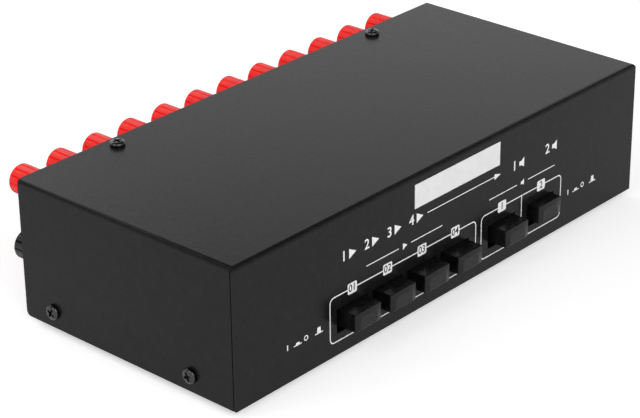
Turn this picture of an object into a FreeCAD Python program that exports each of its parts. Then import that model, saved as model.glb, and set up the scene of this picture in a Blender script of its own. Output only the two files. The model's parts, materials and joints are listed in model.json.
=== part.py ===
import FreeCAD, Part
import math
import os
import Sketcher
from FreeCAD import Rotation, Vector

# Speaker selector switch: a folded steel case, six latching push buttons and two rows of binding posts.
# Millimetres, +Z up, X along the case, Y from the buttons to the posts.
# The origin is under the middle of the whole object, at the level that its feet stand on.

SIZES = [
    # the case
    ("case_width", 235, "left end to right end"),
    ("case_depth", 107.7, "front panel to the cover's rear edge"),
    ("case_height", 55.8, "cover's lower edge to its top"),
    ("cover_sheet", 1.0, "thickness of the cover"),
    ("bend_radius", 1.8, "outside of the cover's bends"),
    ("seam_gap", 0.4, "open seam between the front panel and each end"),
    ("seam_top", 3.0, "solid corner left above each seam"),
    ("end_corner", 2.0, "rounded lower rear corner of each end"),
    ("base_sheet", 1.0, "thickness of the base tray"),
    ("base_bend", 1.5, "outside of the tray's bends"),
    ("case_fit", 0.3, "clearance between the tray and the cover"),
    ("tray_side", 12.0, "height of the tray's end flanges"),
    ("tray_lip", 8.0, "height of its front flange, under the slots"),
    ("return_flange", 12.0, "depth of the rear panel's top flange"),
    ("rear_recess", 1.0, "rear panel inside the cover's rear edge"),
    ("corner_relief", 4.0, "gap at the tray's corners"),
    # feet and screws
    ("foot_diameter", 12.0, "rubber foot"),
    ("foot_height", 3.0, "rubber foot"),
    ("foot_inset", 16.0, "foot's centre from the case's sides"),
    ("head_diameter", 6.0, "cover screw's head"),
    ("head_height", 1.8, "cover screw's head"),
    ("screw_diameter", 3.0, "cover screw's shank"),
    ("screw_length", 6.0, "under the head"),
    ("screw_hole", 3.3, "clearance hole in the cover"),
    ("tapped_hole", 3.1, "hole in the tray"),
    ("end_screw_height", 6.7, "above the cover's lower edge"),
    ("end_screw_front", 21.7, "front panel to the first end screw"),
    ("end_screw_rear", 15.4, "cover's rear edge to the second end screw"),
    ("top_screw_inset", 44.5, "from each end of the case"),
    ("top_screw_rear", 5.9, "from the cover's rear edge"),
    # buttons
    ("opening_width", 16.9, "slot in the front panel"),
    ("opening_height", 9.8, "slot in the front panel"),
    ("button_width", 14.2, "cap"),
    ("button_height", 7.1, "cap"),
    ("button_length", 12.0, "cap, front to rear"),
    ("button_reach", 8.0, "cap in front of the panel when it is out"),
    ("button_level", 14.8, "cap's centre above the cover's lower edge"),
    ("button_bevel", 0.4, "front edges of the cap"),
    ("dish_side", 2.4, "rim left and right of the cap's dished front"),
    ("dish_top", 2.0, "rim above it"),
    ("dish_depth", 0.3, "dished front"),
    ("dish_corner", 2.0, "cut upper corners of the dish"),
    ("opening_drop", 1.1, "slot's centre under the cap's centre"),
    ("latch_depth", 2.9, "how far a latched button stays in"),
    ("input_first", 60.9, "case's left end to button 01"),
    ("input_pitch", 19.55, "between buttons 01 to 04"),
    ("output_first", 148.2, "case's left end to button A"),
    ("output_pitch", 24.8, "between buttons A and B"),
    # switches
    ("switch_width", 12.5, "switch body"),
    ("switch_length", 38.0, "switch body"),
    ("switch_setback", 12.0, "front panel to the switch body"),
    ("plunger_side", 3.5, "square plunger"),
    ("plunger_depth", 22.0, "length inside the switch body"),
    ("plunger_play", 0.3, "clearance round the plunger"),
    ("socket_depth", 3.0, "socket in the rear of the cap"),
    ("travel_room", 6.0, "channel behind the plunger"),
    ("spring_diameter", 6.4, "middle of the coil"),
    ("spring_wire", 0.6, "wire"),
    # board
    ("board_thick", 1.6, "circuit board"),
    ("board_side_gap", 12.0, "case's end to the board"),
    ("board_front", 9.0, "front panel to the board"),
    ("board_level", 8.0, "cover's lower edge to the board's underside"),
    ("board_rear", 9.0, "board's rear edge to the rear panel"),
    ("support_side", 6.0, "across the flats of a pillar"),
    ("support_pin", 3.0, "across the flats of its pin"),
    ("support_head", 4.2, "across the flats of its snap head"),
    ("support_head_height", 1.2, "snap head above the board"),
    ("support_inset", 8.0, "pillar from the board's edges"),
    # binding posts
    ("post_count", 12, "posts in a row"),
    ("row_inset", 16.3, "case's end to the first post"),
    ("red_drop", 10.75, "red row below the cover's top"),
    ("black_level", 17.85, "black row above the cover's lower edge"),
    ("post_reach", 17.8, "cap's end behind the cover's rear edge"),
    ("cap_diameter", 11.8, "over the corners of its lands"),
    ("cap_land", 11.67, "across opposite lands"),
    ("cap_turn", 9.0, "degrees that a tightened cap is turned"),
    ("flute_depth", 0.6, "groove"),
    ("flute_width", 1.36, "groove"),
    ("cap_gap", 0.3, "tightened cap to the terminal plate"),
    ("stud_diameter", 6.0, "threaded barrel"),
    ("stud_play", 0.05, "radial clearance in the cap"),
    ("stud_recess", 1.0, "barrel's mouth inside the cap's end"),
    ("socket_bore", 4.0, "banana socket"),
    ("socket_length", 15.0, "banana socket"),
    ("tail_flats", 7.0, "across the flats of the stud's tail"),
    ("tail_length", 12.0, "tail inside the rear panel"),
    # terminal plate
    ("window_margin", 0.7, "window round the caps"),
    ("plate_thick", 2.0, "in front of the rear panel"),
    ("plate_proud", 0.5, "raised bars beyond the panel's outer face"),
    ("plate_play", 0.2, "raised bars in the windows"),
    ("plate_lap", 1.2, "plate beyond the windows"),
    # bus links
    ("link_width", 3.0, "strip"),
    ("link_thick", 0.8, "strip"),
    ("link_overlap", 3.0, "above the centre of the tail"),
    ("link_setback", 8.0, "red links' leg in front of the tails"),
    ("link_drop", 7.0, "red links' shelf below the tail's centre"),
]

doc = FreeCAD.newDocument("speaker_selector")
sheet = doc.addObject("Spreadsheet::Sheet", "params")
sheet.Label = "params"
for row, (name, number, note) in enumerate(SIZES, start=1):
    sheet.set(f"A{row}", name)
    sheet.set(f"B{row}", str(number))
    sheet.set(f"C{row}", note)
    sheet.setAlias(f"B{row}", name)
doc.recompute()

# Levels and places that follow from the sheet, as expressions.
FRONT = "(params.button_reach - params.post_reach - params.case_depth) / 2"
FLOOR = "params.foot_height"
REAR_OUT = "(params.case_depth - params.rear_recess)"
REAR_IN = f"({REAR_OUT} - params.base_sheet)"
TRAY_WIDTH = "(params.case_width - 2 * params.cover_sheet - 2 * params.case_fit)"
TRAY_FRONT = "(params.cover_sheet + params.case_fit)"
TRAY_TOP = "(params.case_height - params.cover_sheet - params.case_fit)"
BOARD_TOP = "(params.board_level + params.board_thick)"
BOARD_WIDTH = "(params.case_width - 2 * params.board_side_gap)"
BOARD_DEPTH = f"({REAR_OUT} - params.board_rear - params.board_front)"
PLATE_FACE = f"({REAR_OUT} + params.plate_proud)"
CAP_BASE = f"({PLATE_FACE} + params.cap_gap)"
POST_END = "(params.case_depth + params.post_reach)"
TAIL_END = f"({REAR_IN} - params.tail_length)"
FIRST_POST = "(params.row_inset - params.case_width / 2)"
ROW_LENGTH = "(params.case_width - 2 * params.row_inset)"
POST_PITCH = f"({ROW_LENGTH} / (params.post_count - 1))"
RED_LEVEL = "(params.case_height - params.red_drop)"
BARREL_LENGTH = f"({POST_END} - params.stud_recess - {PLATE_FACE})"
CAP_LENGTH = f"({POST_END} - {CAP_BASE})"
WINDOW_HEIGHT = "(params.cap_diameter + 2 * params.window_margin)"
WINDOW_LENGTH = f"({ROW_LENGTH} + {WINDOW_HEIGHT})"
ROWS = {"red": RED_LEVEL, "black": "params.black_level"}
SLOT_LEVEL = "(params.button_level - params.opening_drop)"
CAP_REAR = "(params.button_length - params.button_reach)"
PLUNGER_LENGTH = f"(params.switch_setback - {CAP_REAR} + params.socket_depth + params.plunger_depth)"
END_SCREWS = ["params.end_screw_front", "(params.case_depth - params.end_screw_rear)"]
TOP_SCREW_SIDE = "(params.case_width / 2 - params.top_screw_inset)"
TOP_SCREWS = [f"-{TOP_SCREW_SIDE}", TOP_SCREW_SIDE]
TOP_SCREW_LINE = "(params.case_depth - params.top_screw_rear)"
COIL_TURNS = 3
COIL_SIDES = 6

# Small round pieces are prisms of this many sides, with their corners on the true circle.
FLUTES = 12
BARREL_SIDES = 10
HEAD_SIDES = 12
SHANK_SIDES = 8
FOOT_SIDES = 12

BUTTONS = [
    ("01", "params.input_first", False),
    ("02", "params.input_first + params.input_pitch", False),
    ("03", "params.input_first + 2 * params.input_pitch", False),
    ("04", "params.input_first + 3 * params.input_pitch", False),
    ("a", "params.output_first", False),
    ("b", "params.output_first + params.output_pitch", True),
]


def across(expression):
    """Turn a distance from the case's left end into X."""
    return f"({expression} - params.case_width / 2)"


def new_body(label):
    body = doc.addObject("PartDesign::Body", label)
    body.Label = label
    return body


def place(body, x="0", y="0", z="0"):
    """Stand a body at a place measured from the cover's lower front edge."""
    body.setExpression("Placement.Base.x", x)
    body.setExpression("Placement.Base.y", f"{FRONT} + {y}")
    body.setExpression("Placement.Base.z", f"{FLOOR} + {z}")
    return body


def datum(body, role):
    return next(feature for feature in body.Origin.OriginFeatures if feature.Role == role)


def new_sketch(body, label, plane, lift="0", right="0", up="0"):
    """A sketch on one of the body's own planes, lifted along its normal and shifted in it."""
    sketch = body.newObject("Sketcher::SketchObject", f"{body.Name}_{label}")
    sketch.AttachmentSupport = (datum(body, plane), [""])
    sketch.MapMode = "FlatFace"
    sketch.setExpression("AttachmentOffset.Base.x", right)
    sketch.setExpression("AttachmentOffset.Base.y", up)
    sketch.setExpression("AttachmentOffset.Base.z", lift)
    return sketch


def bind(sketch, constraint, expression):
    """Add a dimension and tie it to the sheet."""
    index = sketch.addConstraint(constraint)
    label = f"size_{index}"
    sketch.renameConstraint(index, label)
    sketch.setExpression(f"Constraints.{label}", expression)


def add_rectangle(sketch, left, low, width, height):
    corners = [Vector(0, 0), Vector(1, 0), Vector(1, 1), Vector(0, 1)]
    first = sketch.GeometryCount
    for side in range(4):
        sketch.addGeometry(Part.LineSegment(corners[side], corners[(side + 1) % 4]))
    for side in range(4):
        sketch.addConstraint(Sketcher.Constraint("Coincident", first + side, 2, first + (side + 1) % 4, 1))
    for side, kind in enumerate(["Horizontal", "Vertical", "Horizontal", "Vertical"]):
        sketch.addConstraint(Sketcher.Constraint(kind, first + side))
    bind(sketch, Sketcher.Constraint("DistanceX", first, 1, first, 2, 1.0), width)
    bind(sketch, Sketcher.Constraint("DistanceY", first + 1, 1, first + 1, 2, 1.0), height)
    bind(sketch, Sketcher.Constraint("DistanceX", -1, 1, first, 1, 0.0), left)
    bind(sketch, Sketcher.Constraint("DistanceY", -1, 1, first, 1, 0.0), low)


def add_square(sketch, side):
    """A square about the origin."""
    add_rectangle(sketch, f"-({side}) / 2", f"-({side}) / 2", side, side)


def add_notch(sketch, width, depth):
    """A V groove whose mouth is this wide at the origin's level, open upwards."""
    points = [Vector(0, -1), Vector(1, 1), Vector(-1, 1)]
    for side in range(3):
        sketch.addGeometry(Part.LineSegment(points[side], points[(side + 1) % 3]))
    for side in range(3):
        sketch.addConstraint(Sketcher.Constraint("Coincident", side, 2, (side + 1) % 3, 1))
    sketch.addConstraint(Sketcher.Constraint("Horizontal", 1))
    bind(sketch, Sketcher.Constraint("DistanceX", -1, 1, 0, 1, 0.0), "0")
    bind(sketch, Sketcher.Constraint("DistanceY", -1, 1, 0, 1, -1.0), f"-({depth})")
    bind(sketch, Sketcher.Constraint("DistanceX", -1, 1, 0, 2, 1.0), width)
    bind(sketch, Sketcher.Constraint("DistanceX", -1, 1, 1, 2, -1.0), f"-({width})")
    bind(sketch, Sketcher.Constraint("DistanceY", -1, 1, 0, 2, 1.0), depth)


def add_circle(sketch, diameter, x="0", y="0"):
    index = sketch.addGeometry(Part.Circle(Vector(0, 0, 0), Vector(0, 0, 1), 1.0))
    bind(sketch, Sketcher.Constraint("Diameter", index, 2.0), diameter)
    bind(sketch, Sketcher.Constraint("DistanceX", -1, 1, index, 3, 0.0), x)
    bind(sketch, Sketcher.Constraint("DistanceY", -1, 1, index, 3, 0.0), y)


def add_polygon(sketch, corners, sides, corner_up=False):
    """A regular polygon about the origin, with its corners on a circle of this diameter."""
    points = []
    for corner in range(sides):
        turn = math.pi / 2 + math.pi * (2 * corner + (0 if corner_up else 1)) / sides
        points.append(Vector(math.cos(turn), math.sin(turn)))
    for side in range(sides):
        sketch.addGeometry(Part.LineSegment(points[side], points[(side + 1) % sides]))
    circle = sketch.addGeometry(Part.Circle(Vector(0, 0, 0), Vector(0, 0, 1), 1.0), True)
    sketch.addConstraint(Sketcher.Constraint("Coincident", circle, 3, -1, 1))
    for side in range(sides):
        sketch.addConstraint(Sketcher.Constraint("Coincident", side, 2, (side + 1) % sides, 1))
        sketch.addConstraint(Sketcher.Constraint("PointOnObject", side, 1, circle))
    for side in range(1, sides):
        sketch.addConstraint(Sketcher.Constraint("Equal", 0, side))
    if corner_up:
        sketch.addConstraint(Sketcher.Constraint("PointOnObject", 0, 1, -2))
    else:
        sketch.addConstraint(Sketcher.Constraint("Horizontal", sides - 1))
    bind(sketch, Sketcher.Constraint("Diameter", circle, 2.0), corners)


def add_flats(sketch, flats, sides=6, corner_up=False):
    """The same, by its size across flats."""
    add_polygon(sketch, f"({flats}) / cos(180 / {sides})", sides, corner_up)


def add_feature(body, kind, label, sketch, length=None, reverse=False, both=False):
    feature = body.newObject(f"PartDesign::{kind}", f"{body.Name}_{label}")
    feature.Profile = sketch
    sketch.Visibility = False
    if length is None:
        feature.Type = "ThroughAll"
    else:
        feature.setExpression("Length", length)
    feature.Reversed = reverse
    if both:
        feature.SideType = "Symmetric"
    return feature


def pad(body, label, sketch, length, reverse=False, both=False):
    return add_feature(body, "Pad", label, sketch, length, reverse, both)


def pocket(body, label, sketch, length=None, reverse=False, both=False):
    return add_feature(body, "Pocket", label, sketch, length, reverse, both)


def repeat(body, label, features, axis, length, count):
    pattern = body.newObject("PartDesign::LinearPattern", f"{body.Name}_{label}")
    pattern.Originals = features
    pattern.Direction = (datum(body, axis), [""])
    pattern.setExpression("Length", length)
    pattern.setExpression("Occurrences", count)
    body.Tip = pattern
    return pattern


def dress(body, kind, label, base, names, size_name, size):
    """Fillet or chamfer these edges of a feature."""
    feature = body.newObject(f"PartDesign::{kind}", f"{body.Name}_{label}")
    feature.Base = (base, names)
    feature.setExpression(size_name, size)
    return feature


def edges_where(feature, test):
    """Names of a feature's straight edges whose middle and direction pass a test."""
    names = []
    for number, edge in enumerate(feature.Shape.Edges, start=1):
        if isinstance(edge.Curve, (Part.Line, Part.LineSegment)):
            start, end = edge.Vertexes[0].Point, edge.Vertexes[-1].Point
            if test((start + end) / 2, (end - start).normalize()):
                names.append(f"Edge{number}")
    return names


def faces_where(feature, test):
    """Names of a feature's flat faces whose middle and normal pass a test."""
    names = []
    for number, face in enumerate(feature.Shape.Faces, start=1):
        if isinstance(face.Surface, Part.Plane):
            if test(face.CenterOfMass, face.normalAt(0, 0)):
                names.append(f"Face{number}")
    return names


def near(one, other):
    return abs(one - other) < 1e-6


def make_top_cover():
    """One folded sheet: top, front panel and both ends, open behind and below."""
    body = place(new_body("top_cover"))
    outline = new_sketch(body, "outline", "XY_Plane")
    add_rectangle(outline, "-params.case_width / 2", "0", "params.case_width", "params.case_depth")
    block = pad(body, "block", outline, "params.case_height")
    doc.recompute()
    top_edges = edges_where(block, lambda middle, run: (
        near(middle.z, sheet.case_height) and not near(middle.y, sheet.case_depth)))
    bends = dress(body, "Fillet", "bends", block, top_edges, "Radius", "params.bend_radius")
    doc.recompute()
    open_faces = faces_where(bends, lambda middle, out: (
        near(middle.z, 0) or near(middle.y, sheet.case_depth)))
    hollow = dress(body, "Thickness", "hollow", bends, open_faces, "Value", "params.cover_sheet")
    hollow.Reversed = True
    doc.recompute()
    corners = edges_where(hollow, lambda middle, run: (
        near(middle.z, 0) and near(middle.y, sheet.case_depth) and near(abs(run.x), 1)))
    dress(body, "Fillet", "end_corners", hollow, corners, "Radius", "params.end_corner")

    slots = new_sketch(body, "slots", "XZ_Plane")
    for label, distance, latched in BUTTONS:
        add_rectangle(slots, f"{across(distance)} - params.opening_width / 2",
                      f"{SLOT_LEVEL} - params.opening_height / 2",
                      "params.opening_width", "params.opening_height")
    pocket(body, "slots_cut", slots, "2 * params.cover_sheet")

    seams = new_sketch(body, "seams", "YZ_Plane")
    add_rectangle(seams, "params.cover_sheet", "-1",
                  "params.seam_gap", "params.case_height - params.seam_top + 1")
    pocket(body, "seams_cut", seams, "params.case_width + 2", both=True)

    add_screw_holes(body, "params.screw_hole")
    return body


def cover_screw_places():
    """Each cover screw: its label, the plane that its head lies on, that plane's lift, and its centre."""
    places = []
    for side, sign in (("left", "-"), ("right", "")):
        for number, distance in enumerate(END_SCREWS, start=1):
            places.append((f"{side}_{number}", "YZ_Plane", f"{sign}params.case_width / 2",
                           distance, "params.end_screw_height"))
    for number, x in enumerate(TOP_SCREWS, start=1):
        places.append((f"top_{number}", "XY_Plane", "params.case_height", x, TOP_SCREW_LINE))
    return places


def add_screw_holes(body, diameter):
    """Cut the six holes that the cover screws go through."""
    for label, plane, lift, x, y in cover_screw_places():
        hole = new_sketch(body, f"hole_{label}", plane, lift=lift, right=x, up=y)
        add_polygon(hole, diameter, SHANK_SIDES)
        pocket(body, f"hole_{label}_cut", hole, "params.screw_length", reverse=label.startswith("left"))


def make_base_tray():
    """The folded tray: bottom, low front and end flanges, rear panel and its return flange."""
    body = place(new_body("base_tray"))
    outline = new_sketch(body, "outline", "XY_Plane")
    add_rectangle(outline, f"-{TRAY_WIDTH} / 2", TRAY_FRONT, TRAY_WIDTH, f"{REAR_OUT} - {TRAY_FRONT}")
    pad(body, "block", outline, TRAY_TOP)
    step = new_sketch(body, "step", "YZ_Plane")
    add_rectangle(step, "0", "params.tray_side", f"{REAR_OUT} - params.return_flange", "params.case_height")
    low = pocket(body, "step_cut", step, "params.case_width", both=True)
    doc.recompute()

    bottom_box = low.Shape.BoundBox
    bend_edges = edges_where(low, lambda middle, run: not near(abs(run.z), 1) and (
        near(middle.z, 0) or near(middle.z, bottom_box.ZMax) and near(middle.y, bottom_box.YMax)))
    bends = dress(body, "Fillet", "bends", low, bend_edges, "Radius", "params.base_bend")
    doc.recompute()
    open_faces = faces_where(bends, lambda middle, out: (
        near(middle.z, sheet.tray_side)
        or near(middle.y, bottom_box.YMax - sheet.return_flange) and middle.z > sheet.tray_side))
    hollow = dress(body, "Thickness", "hollow", bends, open_faces, "Value", "params.base_sheet")
    hollow.Reversed = True

    for label, side, reverse in (("right", "", False), ("left", "-", True)):
        reliefs = new_sketch(body, f"{label}_reliefs", "YZ_Plane", lift=f"{side}{TRAY_WIDTH} / 2")
        add_rectangle(reliefs, "0", "params.base_bend",
                      f"{TRAY_FRONT} + params.corner_relief", "params.tray_side")
        add_rectangle(reliefs, f"{REAR_OUT} - params.corner_relief", "params.base_bend",
                      "params.corner_relief + 1", "params.case_height")
        pocket(body, f"{label}_reliefs_cut", reliefs, "params.base_sheet", reverse=reverse)
        gusset = new_sketch(body, f"{label}_gusset", "YZ_Plane", lift=f"{side}{TRAY_WIDTH} / 2")
        add_rectangle(gusset, f"{REAR_OUT} - params.return_flange - 1", "params.tray_side",
                      "params.return_flange + 2", "params.case_height")
        pocket(body, f"{label}_gusset_cut", gusset, "params.base_sheet", reverse=reverse)

    lip = new_sketch(body, "lip", "XZ_Plane")
    add_rectangle(lip, f"-{TRAY_WIDTH} / 2", "params.tray_lip", TRAY_WIDTH, "params.tray_side")
    pocket(body, "lip_cut", lip, f"{TRAY_FRONT} + params.base_sheet")

    windows = new_sketch(body, "windows", "XZ_Plane", lift=f"-{REAR_IN} + 1")
    for level in ROWS.values():
        add_rectangle(windows, f"-{WINDOW_LENGTH} / 2", f"{level} - {WINDOW_HEIGHT} / 2",
                      WINDOW_LENGTH, WINDOW_HEIGHT)
    pocket(body, "windows_cut", windows, "params.base_sheet + 2")
    add_screw_holes(body, "params.tapped_hole")
    return body


def make_cover_screws():
    """Six pan-head screws, one group of separate solids."""
    body = place(new_body("cover_screws"))
    for label, plane, lift, x, y in cover_screw_places():
        left = label.startswith("left")
        shank = new_sketch(body, f"{label}_shank", plane, lift=lift, right=x, up=y)
        add_polygon(shank, "params.screw_diameter", SHANK_SIDES)
        pad(body, f"{label}_shank_pad", shank, "params.screw_length", reverse=not left)
        head = new_sketch(body, f"{label}_head", plane, lift=lift, right=x, up=y)
        add_polygon(head, "params.head_diameter", HEAD_SIDES)
        pad(body, f"{label}_head_pad", head, "params.head_height", reverse=left)
    return body


def make_rubber_feet():
    body = place(new_body("rubber_feet"))
    for side, sign in (("left", "-"), ("right", "")):
        x = f"{sign}(params.case_width / 2 - params.foot_inset)"
        for end, y in (("front", "params.foot_inset"), ("rear", "(params.case_depth - params.foot_inset)")):
            outline = new_sketch(body, f"{side}_{end}", "XY_Plane", right=x, up=y)
            add_polygon(outline, "params.foot_diameter", FOOT_SIDES)
            pad(body, f"{side}_{end}_pad", outline, "params.foot_height", reverse=True)
    return body


def make_terminal_plate():
    """The insulating plate inside the rear panel; its two raised bars fill the panel's windows."""
    body = place(new_body("terminal_plate"), y=REAR_IN)
    back = new_sketch(body, "back", "XZ_Plane")
    low = f"params.black_level - {WINDOW_HEIGHT} / 2 - params.plate_lap"
    add_rectangle(back, f"-{WINDOW_LENGTH} / 2 - params.plate_lap", low,
                  f"{WINDOW_LENGTH} + 2 * params.plate_lap",
                  f"{RED_LEVEL} - params.black_level + {WINDOW_HEIGHT} + 2 * params.plate_lap")
    pad(body, "back_pad", back, "params.plate_thick")
    bars = new_sketch(body, "bars", "XZ_Plane")
    for level in ROWS.values():
        add_rectangle(bars, f"-{WINDOW_LENGTH} / 2 + params.plate_play",
                      f"{level} - {WINDOW_HEIGHT} / 2 + params.plate_play",
                      f"{WINDOW_LENGTH} - 2 * params.plate_play", f"{WINDOW_HEIGHT} - 2 * params.plate_play")
    pad(body, "bars_pad", bars, "params.base_sheet + params.plate_proud", reverse=True)
    for row, level in ROWS.items():
        hole = new_sketch(body, f"{row}_hole", "XZ_Plane",
                          lift="params.plate_thick", right=FIRST_POST, up=level)
        add_flats(hole, "params.tail_flats")
        cut = pocket(body, f"{row}_hole_cut", hole,
                     "params.plate_thick + params.base_sheet + params.plate_proud")
        repeat(body, f"{row}_holes", [cut], "X_Axis", ROW_LENGTH, "params.post_count")
    return body


def make_studs(row):
    """Brass studs moulded into the terminal plate: hexagonal tail, round barrel, socket in its end."""
    body = place(new_body(f"{row}_row_studs"), x=FIRST_POST, y=PLATE_FACE, z=ROWS[row])
    tail = new_sketch(body, "tail", "XZ_Plane")
    add_flats(tail, "params.tail_flats")
    tail_pad = pad(body, "tail_pad", tail, f"{PLATE_FACE} - {TAIL_END}")
    barrel = new_sketch(body, "barrel", "XZ_Plane")
    add_polygon(barrel, "params.stud_diameter", BARREL_SIDES)
    barrel_pad = pad(body, "barrel_pad", barrel, BARREL_LENGTH, reverse=True)
    mouth = new_sketch(body, "mouth", "XZ_Plane", lift=f"-{BARREL_LENGTH}")
    add_circle(mouth, "params.socket_bore")
    socket = pocket(body, "socket", mouth, "params.socket_length", reverse=True)
    repeat(body, "row", [tail_pad, barrel_pad, socket], "X_Axis", ROW_LENGTH, "params.post_count")
    return body


def make_post_cap(row, number):
    """A screw cap with flat lands between its flutes, and a bore right through for the stud and a plug."""
    post = f"({FIRST_POST} + {number - 1} * {POST_PITCH})"
    body = new_body(f"{row}_post_cap_{number:02d}")
    body.Placement = FreeCAD.Placement(Vector(), Rotation(Vector(0, 1, 0), -sheet.cap_turn))
    place(body, x=post, y=CAP_BASE, z=ROWS[row])
    section = new_sketch(body, "section", "XZ_Plane")
    add_flats(section, "params.cap_land", FLUTES, corner_up=True)
    pad(body, "bar", section, CAP_LENGTH, reverse=True)
    groove = new_sketch(body, "groove", "XZ_Plane", up="params.cap_diameter / 2")
    add_notch(groove, "params.flute_width", "params.flute_depth")
    flute = pocket(body, "flute", groove, CAP_LENGTH)
    flutes = body.newObject("PartDesign::PolarPattern", f"{body.Name}_flutes")
    flutes.Originals = [flute]
    flutes.Axis = (datum(body, "Y_Axis"), [""])
    flutes.Angle = 360
    flutes.Occurrences = FLUTES
    body.Tip = flutes
    bore = new_sketch(body, "bore", "XZ_Plane")
    add_flats(bore, "params.stud_diameter + 2 * params.stud_play", BARREL_SIDES, corner_up=True)
    pocket(body, "bore_cut", bore, CAP_LENGTH)
    return body


def make_bus_links(row):
    """Metal strips that join each stud's tail to the board; the red row's pass in front of the black row."""
    body = place(new_body(f"{row}_bus_links"), x=FIRST_POST, y=TAIL_END)
    upright = new_sketch(body, "upright", "YZ_Plane")
    features = []
    if row == "black":
        add_rectangle(upright, "-params.link_thick", BOARD_TOP, "params.link_thick",
                      f"params.black_level + params.link_overlap - {BOARD_TOP}")
        features.append(pad(body, "upright_pad", upright, "params.link_width", both=True))
    else:
        shelf_level = f"({RED_LEVEL} - params.link_drop)"
        add_rectangle(upright, "-params.link_thick", shelf_level, "params.link_thick",
                      "params.link_drop + params.link_overlap")
        shelf = new_sketch(body, "shelf", "YZ_Plane")
        add_rectangle(shelf, "-params.link_setback - params.link_thick",
                      f"{shelf_level} - params.link_thick",
                      "params.link_setback + params.link_thick", "params.link_thick")
        leg = new_sketch(body, "leg", "YZ_Plane")
        add_rectangle(leg, "-params.link_setback - params.link_thick", BOARD_TOP, "params.link_thick",
                      f"{shelf_level} - {BOARD_TOP}")
        for label, sketch in (("upright", upright), ("shelf", shelf), ("leg", leg)):
            features.append(pad(body, f"{label}_pad", sketch, "params.link_width", both=True))
    repeat(body, "row", features, "X_Axis", ROW_LENGTH, "params.post_count")
    return body


def support_places():
    """The four board supports, as expressions for X and Y."""
    side = f"({BOARD_WIDTH} / 2 - params.support_inset)"
    front = "(params.board_front + params.support_inset)"
    rear = f"(params.board_front + {BOARD_DEPTH} - params.support_inset)"
    return [(x, y) for x in (f"-{side}", side) for y in (front, rear)]


def make_main_board():
    body = place(new_body("main_board"), z="params.board_level")
    outline = new_sketch(body, "outline", "XY_Plane")
    add_rectangle(outline, f"-{BOARD_WIDTH} / 2", "params.board_front", BOARD_WIDTH, BOARD_DEPTH)
    pad(body, "board", outline, "params.board_thick")
    for number, (x, y) in enumerate(support_places(), start=1):
        hole = new_sketch(body, f"hole_{number}", "XY_Plane", right=x, up=y)
        add_flats(hole, "params.support_pin")
        pocket(body, f"hole_{number}_cut", hole, "params.board_thick + 1", reverse=True)
    return body


def make_board_supports():
    """Four nylon pillars: each stands on the tray, and its pin snaps through the board."""
    body = place(new_body("board_supports"), z="params.base_sheet")
    pillar_height = "(params.board_level - params.base_sheet)"
    for number, (x, y) in enumerate(support_places(), start=1):
        pillar = new_sketch(body, f"pillar_{number}", "XY_Plane", right=x, up=y)
        add_flats(pillar, "params.support_side")
        pad(body, f"pillar_{number}_pad", pillar, pillar_height)
        pin = new_sketch(body, f"pin_{number}", "XY_Plane", lift=pillar_height, right=x, up=y)
        add_flats(pin, "params.support_pin")
        pad(body, f"pin_{number}_pad", pin, "params.board_thick")
        head = new_sketch(body, f"head_{number}", "XY_Plane",
                          lift=f"{pillar_height} + params.board_thick", right=x, up=y)
        add_flats(head, "params.support_head")
        pad(body, f"head_{number}_pad", head, "params.support_head_height")
    return body


def stand_in(latched):
    """How far a button stands behind its place when it is out."""
    return "params.latch_depth" if latched else "0"


def make_switch_body(label, distance):
    """A latching switch on the board, with the plunger's channel in its front."""
    body = place(new_body(f"switch_body_{label}"), x=across(distance),
                 y="params.switch_setback", z=BOARD_TOP)
    outline = new_sketch(body, "outline", "XY_Plane")
    add_rectangle(outline, "-params.switch_width / 2", "0", "params.switch_width", "params.switch_length")
    pad(body, "block", outline, f"2 * (params.button_level - {BOARD_TOP})")
    channel = new_sketch(body, "channel", "XZ_Plane", up=f"params.button_level - {BOARD_TOP}")
    add_square(channel, "params.plunger_side + 2 * params.plunger_play")
    pocket(body, "channel_cut", channel, "params.plunger_depth + params.travel_room")
    return body


def make_plunger(label, distance, latched):
    """The square plunger: its front end is pressed into the button cap."""
    body = place(new_body(f"plunger_{label}"), x=across(distance), z="params.button_level",
                 y=f"{CAP_REAR} - params.socket_depth + {stand_in(latched)}")
    section = new_sketch(body, "section", "XZ_Plane")
    add_square(section, "params.plunger_side")
    pad(body, "rod", section, PLUNGER_LENGTH, reverse=True)
    return body


def make_button(label, distance, latched):
    """A rectangular cap: bevelled front edges, a dished front and a socket for its plunger."""
    body = place(new_body(f"button_{label}"), x=across(distance), z="params.button_level",
                 y=f"{CAP_REAR} + {stand_in(latched)}")
    section = new_sketch(body, "section", "XZ_Plane")
    add_rectangle(section, "-params.button_width / 2", "-params.button_height / 2",
                  "params.button_width", "params.button_height")
    block = pad(body, "block", section, "params.button_length")
    doc.recompute()
    front_edges = edges_where(block, lambda middle, run: near(middle.y, -sheet.button_length))
    dress(body, "Chamfer", "bevel", block, front_edges, "Size", "params.button_bevel")
    front = new_sketch(body, "dish", "XZ_Plane", lift="params.button_length")
    add_rectangle(front, "params.dish_side - params.button_width / 2", "-params.button_height / 2 - 1",
                  "params.button_width - 2 * params.dish_side", "params.button_height - params.dish_top + 1")
    dish = pocket(body, "dish_cut", front, "params.dish_depth")
    doc.recompute()
    corners = edges_where(dish, lambda middle, run: (
        near(abs(run.y), 1) and near(middle.z, sheet.button_height / 2 - sheet.dish_top)))
    dress(body, "Chamfer", "dish_corners", dish, corners, "Size", "params.dish_corner")
    socket = new_sketch(body, "socket", "XZ_Plane")
    add_square(socket, "params.plunger_side")
    pocket(body, "socket_cut", socket, "params.socket_depth", reverse=True)
    return body


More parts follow.
